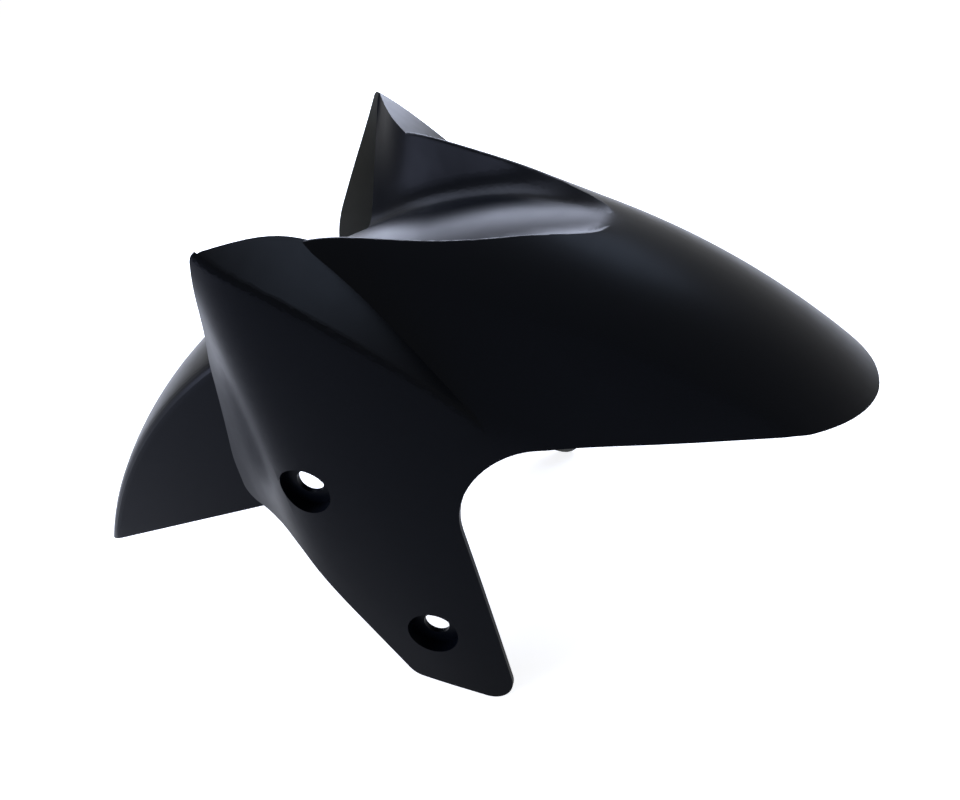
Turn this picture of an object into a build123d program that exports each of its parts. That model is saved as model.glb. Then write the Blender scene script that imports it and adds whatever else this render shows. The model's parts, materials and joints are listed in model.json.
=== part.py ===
from build123d import *
import os
from math import cos, radians, sin, sqrt

# One-piece moulded front mudguard. Lengths in millimetres, angles in degrees.
# It is drawn as it sits on the motorcycle, with the wheel axle at the working origin,
# X forward, Y to the rider's left and Z up. At the end it is moved so that the origin
# lies under its middle, at the height of its lowest point.
# Points with two numbers are (X, Z) in a side view, or (X, half width) in a plan view.

# Moulding
WALL = 3.0

# Crown of the nose: a straight rise from the wings, and a wide arc in front of the place where they join
CROWN_JOIN = (87.2, 250.4)
RISE_ANGLE = 26.3
NOSE_RADIUS = 451.2
NOSE_TIP_ANGLE = 54.5
CROWN_SIDE_RADIUS = 110.0
CREASE_RADIUS = 14.0

# Steep sides of the nose, as half widths at two levels
SIDE_WALL = (
    (170.0, [(240, 50), (172, 65), (110, 80.5), (53, 96), (0, 124), (-46, 147), (-110, 178)]),
    (270.0, [(240, 36), (172, 45), (110, 52), (53, 59.5), (0, 67.5), (-46, 85.5), (-110, 117)]),
)

# Outer panels that cover the fork legs, as half widths at two levels
PANEL_WALL = (
    (0.0, [(75, 117), (0, 114.5), (-50, 110.5), (-74, 105), (-94, 94), (-122, 80.5), (-150, 78)]),
    (300.0, [(75, 68), (0, 102), (-50, 116), (-74, 115.5), (-94, 99), (-122, 80.5), (-150, 78)]),
)
PANEL_FRONT = 60.0

# Roof facet of each wing: its tip, a point on its ridge, its foot, and how far it bulges between tip and foot
WING_TIP = (-72.0, 116.0, 297.0)
ROOF_INNER = (-47.7, 76.2, 281.2)
ROOF_FOOT = (33.5, 100.2, 192.0)
ROOF_BULGE = 5.0
ROOF_EDGE_RADIUS = 5.0
WING_REAR = -72.0

# Arch over the wheel: floor of the scoop in front, crown of the tail behind
ARCH_TOP = (26.5, 255.5)
ARCH_RADIUS = 336.0
ARCH_SIDE_RADIUS = 150.0

# Tunnel walls between the wheel and the fork legs: straight behind, flared out in front of the fork
TUNNEL_HALF_WIDTH = 57.0
TUNNEL_EDGE_RADIUS = 10.0
FLARE_RADIUS = 111.0
FLARE_ANGLE = 60.0

# Scoop behind the crown, as half widths at two levels
SCOOP_WALL = (
    (215.0, [(90, 0), (84, 13), (62, 23), (16, 37.9), (-18, 44.7), (-47.7, 50.1), (-62, 48.7), (-80, 43.3)]),
    (325.0, [(121, 0), (112, 26), (64, 45.5), (16, 69), (-18, 78.9), (-47.7, 92.6), (-62, 118), (-80, 160)]),
)
SCOOP_FOOT_RADIUS = 16.0
RIDGE_RADIUS = 2.0

# Side view outline from the nose tip round the notch, the leg and the panel to the wing tip,
# each corner with its rounding
OUTLINE = [
    ((213.5, 156.7), 0), ((172.5, 166), 25), ((10.3, 179.5), 38), ((28, 11.4), 13), ((-31.8, 29), 12),
    ((-83, 122.5), 26), ((-121.5, 131), 11), ((-121.5, 158), 60), ((-106, 226), 80), ((-72.5, 296.5), 4),
    ((-40, 299), 0),
]

# Side view of the lower edge of the tunnel: where the tail ends along the arch, then the step up behind the
# fork and the way on into the notch in front of the leg, each corner with its rounding
TAIL_END_ANGLE = 155.2
TAIL_END_RADIUS = 6.0
TUNNEL_EDGE = [((-116, 107), 12), ((-104, 145), 12), ((60, 182), 0)]

# Bolt pockets in each leg, and the plane in which they sit on the fork
BOLT_UPPER = (-61.0, 163.6)
BOLT_LOWER = (-13.7, 63.9)
POCKET_DIAMETER = 28.5
HOLE_DIAMETER = 14.5
SEAT_HALF_WIDTH = 102.0
SEAT_THICKNESS = 3.0

# Levels below and above the whole part, and a length greater than the part's
BELOW = -5 * WALL
ABOVE = WING_TIP[2] + ROOF_BULGE * 8
REACH = 2 * NOSE_RADIUS


def at_level(wall, level):
    """Half-width points of a straight-sided wall at any level."""
    (low_level, low), (high_level, high) = wall
    t = (level - low_level) / (high_level - low_level)
    return [(a[0] + t * (b[0] - a[0]), a[1] + t * (b[1] - a[1])) for a, b in zip(low, high)]


def spacing(wall):
    """Distance along the wall at each of its points, the mean of both levels."""
    (_, low), (_, high) = wall
    total = [0.0]
    for i in range(1, len(low)):
        steps = [(Vector(*line[i]) - Vector(*line[i - 1])).length for line in (low, high)]
        total.append(total[-1] + sum(steps) / len(steps))
    return total


def inset_points(points, inset):
    """Moves the points of a half outline inwards, square to the outline."""
    moved = []
    for i, (x, y) in enumerate(points):
        before = points[max(i - 1, 0)]
        after = points[min(i + 1, len(points) - 1)]
        along = Vector(after[0] - before[0], after[1] - before[1]).normalized()
        moved.append((x - along.Y * inset, y + along.X * inset))
    return moved


def smooth_curve(points, distances, level):
    """Curve through plan points at one level."""
    return Edge.make_spline([Vector(x, y, level) for x, y in points], parameters=distances)


def inside_wall(wall, inset):
    """Solid between a wall and its mirror image."""
    faces = []
    for level in (BELOW, ABOVE):
        points = inset_points(at_level(wall, level), inset)
        left = smooth_curve(points, spacing(wall), level)
        right = smooth_curve([(x, -y) for x, y in points], spacing(wall), level)
        faces.append(make_face([left, Line(left @ 1, right @ 1), right, Line(left @ 0, right @ 0)]))
    return loft(faces, ruled=True)


def arc_section(radius, side_radius, half_width):
    """Section with a round top, drawn across and outwards from the centre."""
    shoulder = radius - side_radius + sqrt(side_radius**2 - half_width**2)
    base = radius / 4
    arc = ThreePointArc((-half_width, shoulder), (0, radius), (half_width, shoulder))
    sides = Polyline((half_width, shoulder), (half_width, base), (-half_width, base), (-half_width, shoulder))
    return make_face([arc, sides])


def behind(x):
    """All that lies behind one place."""
    return Pos(x, 0, 0) * Box(REACH, REACH, REACH, align=(Align.MAX, Align.CENTER, Align.CENTER))


def ahead(x):
    """All that lies ahead of one place."""
    return Pos(x, 0, 0) * Box(REACH, REACH, REACH, align=(Align.MIN, Align.CENTER, Align.CENTER))


def crown(inset):
    """All that lies under the top skin of the nose."""
    rise = radians(RISE_ANGLE)
    forward = Vector(cos(rise), 0, -sin(rise))
    centre = Vector(CROWN_JOIN[0], 0, CROWN_JOIN[1]) - Vector(sin(rise), 0, cos(rise)) * NOSE_RADIUS
    side_radius = CROWN_SIDE_RADIUS - inset
    section = arc_section(NOSE_RADIUS - inset, side_radius, side_radius)
    section = Plane(centre, x_dir=(0, 1, 0), z_dir=forward) * section
    front = revolve(section, Axis(centre, (0, 1, 0)), NOSE_TIP_ANGLE - RISE_ANGLE)
    return front + extrude(section, NOSE_RADIUS, dir=-forward)


def hood(inset):
    """Nose under its crown and between its sides, with the crease between them rounded."""
    top = crown(inset)
    block = top & inside_wall(SIDE_WALL, inset)
    skin = top.faces().filter_by(GeomType.PLANE, reverse=True)
    crease = [edge for edge in block.edges() if is_crease(edge, skin)]
    return fillet(crease, CREASE_RADIUS - inset)


def is_crease(edge, skin):
    """True for a lengthwise edge that lies on the top skin."""
    start, middle, end = edge @ 0, edge @ 0.5, edge @ 1
    lengthwise = abs(start.X - end.X) > abs(start.Y - end.Y)
    return lengthwise and min(face.distance_to(middle) for face in skin) < WALL / 100


def panels(inset):
    """Outer panels under the gently arched roof facets of the wings."""
    tip, inner, foot = Vector(*WING_TIP), Vector(*ROOF_INNER), Vector(*ROOF_FOOT)
    up = (inner - tip).cross(foot - tip).normalized()
    along = (foot - tip).normalized()
    radius = ((foot - tip).length**2 / 4 + ROOF_BULGE**2) / (2 * ROOF_BULGE)
    centre = (tip + foot) * 0.5 + up * (ROOF_BULGE - radius)
    roof = Plane(centre, x_dir=along, z_dir=along.cross(up)) * Cylinder(radius - inset, REACH)
    block = inside_wall(PANEL_WALL, inset) & roof & mirror(roof, Plane.XZ)
    roofs = block.faces().filter_by(GeomType.CYLINDER)
    edges = [max(face.edges(), key=lambda edge: abs((edge @ 0.5).Y)) for face in roofs]
    return fillet(edges, ROOF_EDGE_RADIUS - inset)


def arch_centre():
    return Vector(ARCH_TOP[0], 0, ARCH_TOP[1] - ARCH_RADIUS)


def arch(section):
    """Half ring over the wheel with one section."""
    axis = Axis(arch_centre(), (0, 1, 0))
    upright = Plane(arch_centre(), x_dir=(0, 1, 0), z_dir=(1, 0, 0)) * section
    return revolve(upright.rotate(axis, -90), axis, 180)


def tunnel_plan(inset):
    """Tall block over the wheel space, from wall to wall."""
    half = TUNNEL_HALF_WIDTH - inset
    radius = FLARE_RADIUS + inset
    left = CenterArc((WING_REAR, half + radius), radius, -90, FLARE_ANGLE)
    right = CenterArc((WING_REAR, -half - radius), radius, 90, -FLARE_ANGLE)
    front = Line(left @ 1, right @ 1)
    rear = Polyline(left @ 0, (-REACH / 2, half), (-REACH / 2, -half), right @ 0)
    block = extrude(make_face([left, front, right, rear]), ABOVE)
    return block + (ahead((left @ 1).X) & Box(REACH, REACH, 2 * ABOVE))


def scoop(grow):
    """The hollow above the scoop floor, with its foot rounded."""
    distances = spacing(SCOOP_WALL)
    distances = [-d for d in reversed(distances[1:])] + distances
    faces = []
    for level, _ in SCOOP_WALL:
        points = inset_points(at_level(SCOOP_WALL, level), -grow)
        points[0] = (points[0][0], 0)
        curve = smooth_curve([(x, -y) for x, y in reversed(points[1:])] + points, distances, level)
        faces.append(make_face([curve, Line(curve @ 1, curve @ 0)]))
    side_radius = ARCH_SIDE_RADIUS - grow
    hollow = loft(faces, ruled=True) - arch(arc_section(ARCH_RADIUS - grow, side_radius, side_radius))
    foot = hollow.edges().sort_by(Axis.X)[-2]
    return fillet(foot, SCOOP_FOOT_RADIUS + grow)


def side_prism(edges):
    """Side view outline, u forward and v up, drawn out to both sides."""
    return extrude(Plane.XZ * make_face(edges), REACH / 2, both=True)


def rounded_line(corners):
    """Line through corners, each but the first and last with its rounding."""
    points = [point for point, radius in corners]
    return FilletPolyline(*points, radius=[radius for point, radius in corners[1:-1]])


def inside_outline():
    line = rounded_line(OUTLINE)
    tip, front = line @ 1, line @ 0
    top = Polyline(tip, (REACH, tip.Y), (REACH, front.Y), front)
    return side_prism([line, top])


def above_tunnel_edge():
    turn = radians(TAIL_END_ANGLE)
    outward = Vector(cos(turn), sin(turn))
    centre = arch_centre()
    end = Vector(centre.X, centre.Z) + outward * ARCH_RADIUS
    rear = end + Vector(outward.Y, -outward.X) * ARCH_RADIUS
    line = rounded_line([(rear, 0), (end, TAIL_END_RADIUS)] + TUNNEL_EDGE)
    front = line @ 1
    return side_prism([line, Polyline(front, (front.X, REACH), (rear.X, REACH), rear)])


def tail(inset):
    """All that lies inside the tail, with its shoulders rounded."""
    section = arc_section(ARCH_RADIUS - inset, ARCH_SIDE_RADIUS - inset, TUNNEL_HALF_WIDTH - inset)
    section = fillet(section.vertices().sort_by(Axis.Y)[-2:], TUNNEL_EDGE_RADIUS - inset)
    return arch(section) & behind(WING_REAR)


def between_panels(inset):
    """All that lies between the outer panels, and all in front of them."""
    return inside_wall(PANEL_WALL, inset) + ahead(PANEL_FRONT)


def body(inset):
    """Nose and outer panels together, solid."""
    return (hood(inset) & between_panels(inset)) + panels(inset)


def hollowed_body():
    """Outer form with the scoop cut in, and the ridge between scoop and crown rounded."""
    whole = body(0)
    hollow = scoop(0) & between_panels(WALL)
    cut = whole - hollow
    ridge = new_edges(whole, hollow, combined=cut).sort_by(Axis.X)[-1]
    return fillet(ridge, RIDGE_RADIUS)


def bolt_rods(diameter, start):
    """Rods along the bolts of both legs, from one half width outwards."""
    rod = Cylinder(diameter / 2, REACH / 2, align=(Align.CENTER, Align.CENTER, Align.MIN))
    planes = [
        Plane((x, side * start, z), x_dir=(1, 0, 0), z_dir=(0, side, 0))
        for x, z in (BOLT_UPPER, BOLT_LOWER) for side in (1, -1)
    ]
    return [plane * rod for plane in planes]


def mudguard():
    outer = hollowed_body() - (behind(WING_REAR) & inside_wall(PANEL_WALL, WALL))
    inner = body(WALL) - scoop(WALL)
    lower_edge = above_tunnel_edge()
    tunnel_wall = (tunnel_plan(0) - tunnel_plan(WALL)) & lower_edge
    shell = (outer - (inner - tunnel_wall)) & inside_outline()
    shell = shell + ((tail(0) - tail(WALL)) & lower_edge)
    cover = inside_wall(PANEL_WALL, 0)
    bosses = [rod & cover for rod in bolt_rods(POCKET_DIAMETER + 2 * WALL, SEAT_HALF_WIDTH)]
    pockets = bolt_rods(POCKET_DIAMETER, SEAT_HALF_WIDTH + SEAT_THICKNESS)
    holes = bolt_rods(HOLE_DIAMETER, SEAT_HALF_WIDTH - SEAT_THICKNESS)
    return shell + bosses - (pockets + holes)


if __name__ == "__main__":
    os.makedirs("parts", exist_ok=True)
    part = mudguard()
    box = part.bounding_box()
    part = Pos(-box.center().X, -box.center().Y, -box.min.Z) * part
    export_step(part, "parts/front_mudguard.step")
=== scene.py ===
import bpy
import json
import numpy as np
from math import ceil, cos, radians, sqrt
from mathutils import Matrix, Vector
from mathutils.bvhtree import BVHTree
from mathutils.kdtree import KDTree

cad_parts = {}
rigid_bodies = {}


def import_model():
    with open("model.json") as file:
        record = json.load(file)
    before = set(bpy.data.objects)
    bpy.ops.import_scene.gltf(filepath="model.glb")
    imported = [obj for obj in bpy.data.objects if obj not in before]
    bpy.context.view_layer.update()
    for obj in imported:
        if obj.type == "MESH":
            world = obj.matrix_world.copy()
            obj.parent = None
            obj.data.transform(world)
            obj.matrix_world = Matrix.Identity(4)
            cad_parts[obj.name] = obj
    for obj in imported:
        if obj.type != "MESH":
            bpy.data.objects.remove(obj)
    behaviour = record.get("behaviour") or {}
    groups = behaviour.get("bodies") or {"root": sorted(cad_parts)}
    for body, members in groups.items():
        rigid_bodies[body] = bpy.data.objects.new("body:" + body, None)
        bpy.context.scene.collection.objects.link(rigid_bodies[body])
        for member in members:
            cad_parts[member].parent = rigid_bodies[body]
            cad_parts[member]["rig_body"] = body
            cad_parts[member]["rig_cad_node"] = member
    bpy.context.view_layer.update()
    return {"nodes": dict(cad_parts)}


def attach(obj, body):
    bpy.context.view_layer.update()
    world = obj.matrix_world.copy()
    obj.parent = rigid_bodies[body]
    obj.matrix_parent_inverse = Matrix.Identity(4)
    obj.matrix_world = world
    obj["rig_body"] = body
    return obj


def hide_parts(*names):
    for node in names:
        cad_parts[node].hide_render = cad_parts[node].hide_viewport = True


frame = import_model()

MM = 0.001
UP = Vector((0, 0, 1))

# Photograph's camera: its place, the point at the middle of the view, its roll and its lens
CAMERA_PLACE = (0.19157, -0.4176, 0.41446)
CAMERA_AIM = (0.02727, 0.0, 0.12486)
CAMERA_ROLL = -12.0
IMAGE_WIDTH = 960
FOCAL_PIXELS = 900
SENSOR_WIDTH = 36.0
CLIP_START = 10 * MM

# Shell: corners closer than this are merged, and an edge above this angle stays sharp
MERGE_DISTANCE = 0.01 * MM
SHARP_ANGLE = 24.0
SHARP_COSINE = cos(radians(SHARP_ANGLE))

# Shading: the reach over which the surface's direction is taken, and the spacing of its samples
SHADING_REACH = 8 * MM
SAMPLE_SPACING = 2.5 * MM

# Bare inside: a side is bare when more than this share of it turns inwards or down under a roof,
# with the least turn that counts, and a roof is looked for from points this far off its faces
HIDDEN_SHARE = 0.5
INWARD_TURN = 0.1
UNDER_TURN = 0.5
CLEAR_OF_FACE = 0.2 * MM

# Place of the bare moulding among the shell's materials, after the lacquer
BARE_SLOT = 1

# Lacquer on the outside: length and height of one wave of its flow, and how much of it shows
LACQUER_COLOUR = "03050A"
LACQUER_ROUGHNESS = (0.32, 0.37)
LACQUER_IOR = 1.45
LACQUER_SPECULAR = 0.05
FLOW_LENGTH = 9 * MM
FLOW_HEIGHT = 0.05 * MM
FLOW_STRENGTH = 0.04
FLOW_DETAIL = 1.0

# Bare moulding: two greys in clouds of this size, and the size and depth of one pit of its grain,
# drawn larger than a real one, which would be too fine to show
# both greys are lighter than the bare plastic: painted light on the inner sides, which the lamps
# reach little
BARE_GREYS_WITH_PAINTED_LIGHT = ("4E4E48", "595952")
BARE_ROUGHNESS = 0.55
BARE_IOR = 1.48
BARE_SPECULAR = 0.3
CLOUD_SIZE = 25 * MM
CLOUD_DETAIL = 3.0
GRAIN_SIZE = 0.7 * MM
GRAIN_DEPTH = 0.03 * MM
GRAIN_STRENGTH = 0.5

# Sockets of a colour Mix node, which have the same names as its other sockets
MIX_SHARE, MIX_FIRST, MIX_SECOND, MIX_RESULT = 0, 6, 7, 2

# Studio: a paper floor that glows up to white where it is seen, and a white world
WHITE = "FFFFFF"
FLOOR_SIZE = 60.0
PAPER_COLOUR = "E8E8E8"
PAPER_GLOW = 0.76
WORLD_STRENGTH = 0.3
SEEN_STRENGTH = 1.0

# Softboxes: place, size, power and colour, each where one side of the guard mirrors it
LIGHT_AIM = (0.0, 0.0, 0.15)
SOFTBOXES = {
    # floor of the scoop
    "key_softbox": ((-0.5, 1.6, 0.8), (1.2, 0.75), 36.0, "DCE5FF"),
    # far wall of the scoop
    "cool_side_softbox": ((-1.3, -1.05, 0.52), (1.2, 0.45), 26.0, "D0DAFF"),
    # foot of that wall
    "rear_softbox": ((-0.95, 0.55, 1.4), (0.8, 0.7), 18.0, "D8E2FF"),
    # roof facets of the wings
    "front_softbox": ((0.75, 0.9, 1.3), (0.6, 0.5), 8.0, "C8DCFF"),
}


def linear(hex_colour):
    """sRGB hex to linear colour."""
    channels = [int(hex_colour[i:i + 2], 16) / 255 for i in (0, 2, 4)]
    bent = [c / 12.92 if c <= 0.04045 else ((c + 0.055) / 1.055) ** 2.4 for c in channels]
    return (*bent, 1.0)


def node(tree, kind, settings=None, links=None):
    """Adds a node, sets its properties and input values, and links its inputs."""
    made = tree.nodes.new(kind)
    for name, value in (settings or {}).items():
        if isinstance(name, int) or name in made.inputs:
            made.inputs[name].default_value = value
        else:
            setattr(made, name, value)
    for name, source in (links or {}).items():
        tree.links.new(source, made.inputs[name])
    return made


def empty_material(name):
    """Material with no nodes yet, and its node tree."""
    made = bpy.data.materials.new(name)
    made.use_nodes = True
    made.node_tree.nodes.clear()
    return made, made.node_tree


def lacquered_black():
    """Blue-black satin lacquer over the moulding: deep and even, with soft, wide reflections."""
    made, tree = empty_material("black_lacquer_on_moulded_plastic")
    place = node(tree, "ShaderNodeTexCoord").outputs["Object"]
    flow = node(tree, "ShaderNodeTexNoise", {
        "Scale": 1 / FLOW_LENGTH, "Detail": FLOW_DETAIL}, {"Vector": place}).outputs["Fac"]
    smoothest, roughest = LACQUER_ROUGHNESS
    gloss = node(tree, "ShaderNodeMapRange", {
        "To Min": smoothest, "To Max": roughest}, {"Value": flow})
    skin = node(tree, "ShaderNodeBump", {
        "Strength": FLOW_STRENGTH, "Distance": FLOW_HEIGHT}, {"Height": flow})
    surface = node(tree, "ShaderNodeBsdfPrincipled", {
        "Base Color": linear(LACQUER_COLOUR), "IOR": LACQUER_IOR,
        "Specular IOR Level": LACQUER_SPECULAR,
    }, {"Roughness": gloss.outputs["Result"], "Normal": skin.outputs["Normal"]})
    node(tree, "ShaderNodeOutputMaterial", links={"Surface": surface.outputs["BSDF"]})
    return made


def bare_moulding_with_painted_light():
    """Bare dark grey moulding of the inner sides, drawn lighter than the plastic itself as painted
    light on these shaded sides: fine pitted grain that scatters the light.
    """
    made, tree = empty_material("bare_grained_plastic_with_painted_light")
    place = node(tree, "ShaderNodeTexCoord").outputs["Object"]
    pits = node(tree, "ShaderNodeTexVoronoi", {"Scale": 1 / GRAIN_SIZE}, {"Vector": place})
    cloud = node(tree, "ShaderNodeTexNoise", {
        "Scale": 1 / CLOUD_SIZE, "Detail": CLOUD_DETAIL}, {"Vector": place})
    darker, lighter = BARE_GREYS_WITH_PAINTED_LIGHT
    colour = node(tree, "ShaderNodeMix", {
        "data_type": "RGBA", MIX_FIRST: linear(darker), MIX_SECOND: linear(lighter),
    }, {MIX_SHARE: cloud.outputs["Fac"]})
    skin = node(tree, "ShaderNodeBump", {
        "Strength": GRAIN_STRENGTH, "Distance": GRAIN_DEPTH}, {"Height": pits.outputs["Distance"]})
    surface = node(tree, "ShaderNodeBsdfPrincipled", {
        "Roughness": BARE_ROUGHNESS, "IOR": BARE_IOR, "Specular IOR Level": BARE_SPECULAR,
    }, {"Base Color": colour.outputs[MIX_RESULT], "Normal": skin.outputs["Normal"]})
    node(tree, "ShaderNodeOutputMaterial", links={"Surface": surface.outputs["BSDF"]})
    return made


def surface_samples(mesh):
    """Points spread evenly over the faces, with the direction and the area that each stands for."""
    places, directions, areas = [], [], []
    for face in mesh.polygons:
        a, b, c = (mesh.vertices[i].co for i in face.vertices)
        rows = max(1, ceil(sqrt(face.area) / SAMPLE_SPACING))
        for i in range(rows):
            for j in range(rows - i):
                # a third in from its corner is the middle of a small triangle
                u, v = (i + 1 / 3) / rows, (j + 1 / 3) / rows
                places.append(a + (b - a) * u + (c - a) * v)
        added = len(places) - len(areas)
        directions += [face.normal] * added
        areas += [face.area / added] * added
    return places, np.array(directions), np.array(areas)


def even_shading(shell):
    """Turns each corner to the mean direction of the surface round it, to hide long triangles."""
    mesh = shell.data
    places, directions, areas = surface_samples(mesh)
    tree = KDTree(len(places))
    for i, place in enumerate(places):
        tree.insert(place, i)
    tree.balance()
    corners_at = [[] for _ in mesh.vertices]
    for face in mesh.polygons:
        for corner in face.loop_indices:
            corners_at[mesh.loops[corner].vertex_index].append((corner, face))
    turned = [None] * len(mesh.loops)
    for vertex, corners in zip(mesh.vertices, corners_at):
        near = [index for _, index, _ in tree.find_range(vertex.co, SHADING_REACH)]
        around, shares = directions[near], areas[near]
        for corner, face in corners:
            alike = around @ np.array(face.normal) > SHARP_COSINE
            mean = (around[alike] * shares[alike, None]).sum(axis=0)
            turned[corner] = Vector(mean).normalized() if alike.any() else face.normal
    mesh.normals_split_custom_set(turned)


def smooth_patches(mesh):
    """Faces in groups that a sharp edge parts from each other."""
    faces_at = {}
    for face in mesh.polygons:
        for edge in face.edge_keys:
            faces_at.setdefault(edge, []).append(face)
    waiting = set(range(len(mesh.polygons)))
    while waiting:
        patch, reached = [], [mesh.polygons[waiting.pop()]]
        while reached:
            face = reached.pop()
            patch.append(face)
            for edge in face.edge_keys:
                for other in faces_at[edge]:
                    alike = face.normal.dot(other.normal) > SHARP_COSINE
                    if alike and other.index in waiting:
                        waiting.remove(other.index)
                        reached.append(other)
        yield patch


def leave_inside_bare(shell):
    """Gives the inner sides, which the lacquer doesn't reach, to the bare moulding."""
    mesh = shell.data
    surface = BVHTree.FromPolygons(
        [v.co for v in mesh.vertices], [tuple(face.vertices) for face in mesh.polygons])
    for patch in smooth_patches(mesh):
        hidden = 0
        for face in patch:
            side = 1 if face.center.y > 0 else -1
            inward = face.normal.y * side < -INWARD_TURN or face.normal.z < -UNDER_TURN
            roof = surface.ray_cast(face.center + face.normal * CLEAR_OF_FACE, UP)[0]
            if inward and roof:
                hidden += face.area
        if hidden > HIDDEN_SHARE * sum(face.area for face in patch):
            for face in patch:
                face.material_index = BARE_SLOT


def shell_copy(source):
    """Merged copy of the CAD shell with its sharp edges marked."""
    bpy.ops.object.select_all(action="DESELECT")
    shell = source.copy()
    shell.data = source.data.copy()
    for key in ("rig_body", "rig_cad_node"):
        if key in shell:
            del shell[key]
    shell.parent = None
    shell.name = "mudguard_shell"
    bpy.context.scene.collection.objects.link(shell)
    bpy.context.view_layer.objects.active = shell
    shell.select_set(True)
    bpy.ops.object.mode_set(mode="EDIT")
    bpy.ops.mesh.select_all(action="SELECT")
    bpy.ops.mesh.remove_doubles(threshold=MERGE_DISTANCE)
    bpy.ops.object.mode_set(mode="OBJECT")
    bpy.ops.object.shade_smooth_by_angle(angle=radians(SHARP_ANGLE))
    return shell


def turned_to(place, target):
    """Turn of a lamp or camera that looks from its place to a target."""
    return (Vector(target) - Vector(place)).to_track_quat("-Z", "Y")


def softbox(name, place, size, power, colour):
    """Rectangular lamp that faces the guard."""
    lamp = bpy.data.lights.new(name, "AREA")
    lamp.shape = "RECTANGLE"
    lamp.size, lamp.size_y = size
    lamp.energy = power
    lamp.color = linear(colour)[:3]
    holder = bpy.data.objects.new(name, lamp)
    bpy.context.scene.collection.objects.link(holder)
    holder.location = place
    holder.rotation_euler = turned_to(place, LIGHT_AIM).to_euler()


def seen_apart(tree, plain, seen):
    """Second shader for camera rays and for mirrored or transmitted rays, else the first."""
    path = node(tree, "ShaderNodeLightPath").outputs
    mirrored = node(tree, "ShaderNodeMath", {"operation": "MAXIMUM"}, {
        0: path["Is Glossy Ray"], 1: path["Is Transmission Ray"]})
    share = node(tree, "ShaderNodeMath", {"operation": "MAXIMUM"}, {
        0: path["Is Camera Ray"], 1: mirrored.outputs[0]})
    mixed = node(tree, "ShaderNodeMixShader", links={
        0: share.outputs[0], 1: plain.outputs[0], 2: seen.outputs[0]})
    return mixed.outputs[0]


def white_paper():
    """Matt white paper: a plain ground that takes a soft shadow and runs out to white."""
    made, tree = empty_material("white_paper_floor")
    paper = node(tree, "ShaderNodeBsdfDiffuse", {"Color": linear(PAPER_COLOUR)})
    glow = node(tree, "ShaderNodeEmission", {"Color": linear(WHITE), "Strength": PAPER_GLOW})
    both = node(tree, "ShaderNodeAddShader", links={0: paper.outputs[0], 1: glow.outputs[0]})
    node(tree, "ShaderNodeOutputMaterial", links={"Surface": seen_apart(tree, paper, both)})
    return made


def white_world():
    """World that fills in the light weakly and is seen as white."""
    world = bpy.data.worlds.new("studio_white")
    world.use_nodes = True
    tree = world.node_tree
    tree.nodes.clear()
    fill, seen = (
        node(tree, "ShaderNodeBackground", {"Color": linear(WHITE), "Strength": strength})
        for strength in (WORLD_STRENGTH, SEEN_STRENGTH))
    node(tree, "ShaderNodeOutputWorld", links={"Surface": seen_apart(tree, fill, seen)})
    return world


def studio():
    """Floor, softboxes and world."""
    bpy.ops.object.select_all(action="DESELECT")
    bpy.ops.mesh.primitive_plane_add(size=FLOOR_SIZE)
    floor = bpy.context.object
    floor.name = "floor"
    floor.data.materials.append(white_paper())
    for name, (place, size, power, colour) in SOFTBOXES.items():
        softbox(name, place, size, power, colour)
    bpy.context.scene.world = white_world()
    bpy.context.scene.view_settings.view_transform = "Standard"


def photo_camera():
    """Camera at the photograph's place, with its lens."""
    lens = bpy.data.cameras.new("photo_camera")
    lens.sensor_width = SENSOR_WIDTH
    lens.lens = SENSOR_WIDTH * FOCAL_PIXELS / IMAGE_WIDTH
    lens.clip_start = CLIP_START
    camera = bpy.data.objects.new("photo_camera", lens)
    bpy.context.scene.collection.objects.link(camera)
    turn = turned_to(CAMERA_PLACE, CAMERA_AIM).to_matrix().to_4x4()
    roll = Matrix.Rotation(radians(CAMERA_ROLL), 4, "Z")
    camera.matrix_world = Matrix.Translation(CAMERA_PLACE) @ turn @ roll
    bpy.context.scene.camera = camera


shell = shell_copy(frame["nodes"]["front_mudguard"])
shell.data.materials.clear()
shell.data.materials.append(lacquered_black())
shell.data.materials.append(bare_moulding_with_painted_light())
even_shading(shell)
leave_inside_bare(shell)
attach(shell, "root")
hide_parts("front_mudguard")
studio()
photo_camera()
